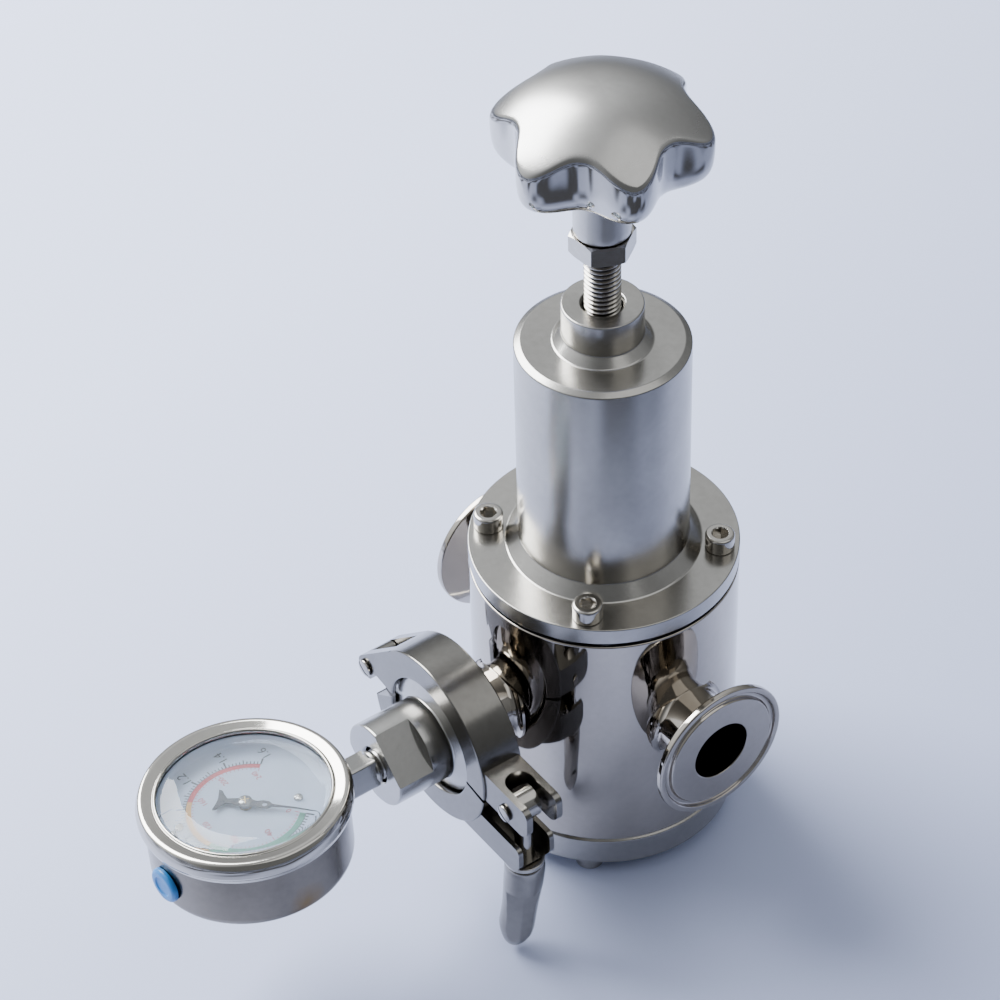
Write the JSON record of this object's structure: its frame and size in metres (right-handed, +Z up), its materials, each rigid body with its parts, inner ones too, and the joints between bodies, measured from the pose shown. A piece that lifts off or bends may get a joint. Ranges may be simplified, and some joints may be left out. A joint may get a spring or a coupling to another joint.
{
  "type": "pressure reducing valve",
  "caption": "Hygienic pressure reducing valve with clamp ferrule ports, a star knob on its spring housing and a clamped dial gauge.",
  "frame": {"origin": "centre of the bottom cover's flat underside, on the axis of the body, bonnet and knob; the cover screw heads stand 6 mm below it", "axes": "+Z up the body's axis to the knob, +X out of the inlet port, -X out of the outlet port, -Y out of the gauge port"},
  "size_m": [0.1284, 0.2262, 0.3013],
  "materials": {
    "body_mirror": "mirror-polished stainless steel",
    "port_mirror": "mirror-polished stainless steel",
    "turned_steel": "fine-turned satin stainless steel",
    "clamp_steel": "cast and ground satin stainless steel",
    "adaptor_steel": "turned stainless steel",
    "gauge_steel": "satin pressed stainless steel",
    "bezel_steel": "polished stainless steel",
    "bright_steel": "bright machined stainless steel",
    "screw_steel": "bright stainless steel",
    "spring_steel": "drawn stainless wire",
    "knob_polish": "polished cast stainless steel",
    "handle_polish": "polished cast stainless steel",
    "black_rubber": "matt black elastomer",
    "white_seal": "white fluoropolymer",
    "window_glass": "clear domed window",
    "dial_white": "matt white enamel with printed scales",
    "pointer_black": "matt black enamel",
    "movement_brass": "machined brass",
    "blue_plastic": "blue moulded rubber-like plastic"
  },
  "bodies": {
    "valve_body": {"body_shell": "body_mirror", "inlet_ferrule": "port_mirror", "outlet_ferrule": "port_mirror", "gauge_ferrule": "port_mirror", "bottom_cover": "turned_steel", "cover_seal": "black_rubber", "bonnet": "turned_steel", "range_spring": "spring_steel", "return_spring": "spring_steel", "diaphragm": "black_rubber", "valve_seat": "bright_steel", "clamp_upper_half": "clamp_steel", "clamp_lower_half": "clamp_steel", "clamp_hinge_pin": "bright_steel", "bolt_pin": "bright_steel", "clamp_gasket": "white_seal", "gauge_adaptor": "adaptor_steel", "gauge_case": "gauge_steel", "gauge_bezel": "bezel_steel", "gauge_glass": "window_glass", "window_gasket": "black_rubber", "gauge_dial": "dial_white", "dial_screw_1": "bright_steel", "dial_screw_2": "bright_steel", "movement_frame": "movement_brass", "bourdon_tube": "movement_brass", "gauge_socket": "adaptor_steel", "vent_plug": "blue_plastic", "bonnet_screw_1": "screw_steel", "cover_screw_1": "screw_steel", "bonnet_screw_2": "screw_steel", "cover_screw_2": "screw_steel", "bonnet_screw_3": "screw_steel", "cover_screw_3": "screw_steel", "bonnet_screw_4": "screw_steel", "cover_screw_4": "screw_steel"},
    "plug_group": {"valve_plug": "bright_steel", "plug_seal": "white_seal", "pusher_plate": "bright_steel", "diaphragm_plate": "bright_steel", "plate_nut": "bright_steel"},
    "spring_lift": {"spring_button": "bright_steel"},
    "handwheel": {"adjusting_screw": "bright_steel", "jam_nut": "bright_steel", "star_knob": "knob_polish"},
    "bolt_swing": {"swing_bolt": "bright_steel"},
    "collar": {"thrust_collar": "bright_steel"},
    "handle": {"handle_nut": "handle_polish"},
    "sector": {"sector_gear": "movement_brass"},
    "pointer": {"gauge_pointer": "pointer_black", "pinion_arbor": "movement_brass"}
  },
  "joints": [
    {"name": "plug_travel", "type": "slide", "parent": "valve_body", "child": "plug_group", "axis": [0, 0, 1], "range_m": [-0.002, 0], "stiffness_N_per_m": 1000, "springref_m": 0.012, "deforming": ["return_spring", "diaphragm"]},
    {"name": "spindle_lift", "type": "slide", "parent": "valve_body", "child": "spring_lift", "axis": [0, 0, 1], "range_m": [-0.0141, 0.0036], "deforming": ["range_spring"]},
    {"name": "knob_turn", "type": "hinge", "parent": "spring_lift", "child": "handwheel", "pos_m": [0, 0, 0.24], "axis": [0, 0, 1], "range_deg": [-2880, 720]},
    {"name": "bolt_swing_out", "type": "hinge", "parent": "valve_body", "child": "bolt_swing", "pos_m": [0.0425, -0.0657, 0.0615], "axis": [0, -1, 0], "range_deg": [0, 95]},
    {"name": "collar_slide", "type": "slide", "parent": "bolt_swing", "child": "collar", "axis": [0, 0, 1], "range_m": [-0.0026, 0]},
    {"name": "handle_turn", "type": "hinge", "parent": "collar", "child": "handle", "pos_m": [0.0425, -0.0657, 0.0336], "axis": [0, 0, 1], "range_deg": [-720, 0]},
    {"name": "sector_turn", "type": "hinge", "parent": "valve_body", "child": "sector", "pos_m": [0.00299, -0.136, 0.06262], "axis": [-0.0732, 0, 0.9973], "range_deg": [0, 94]},
    {"name": "pointer_turn", "type": "hinge", "parent": "valve_body", "child": "pointer", "pos_m": [-0.00073, -0.1446, 0.07237], "axis": [-0.0732, 0, 0.9973], "range_deg": [-270.2, 0]}
  ],
  "couplings": [
    {"joint": "spindle_lift", "follows": "knob_turn", "m_per_rad": 0.00027852},
    {"joint": "collar_slide", "follows": "handle_turn", "m_per_rad": 0.00019894},
    {"joint": "pointer_turn", "follows": "sector_turn", "ratio": -2.8736}
  ]
}
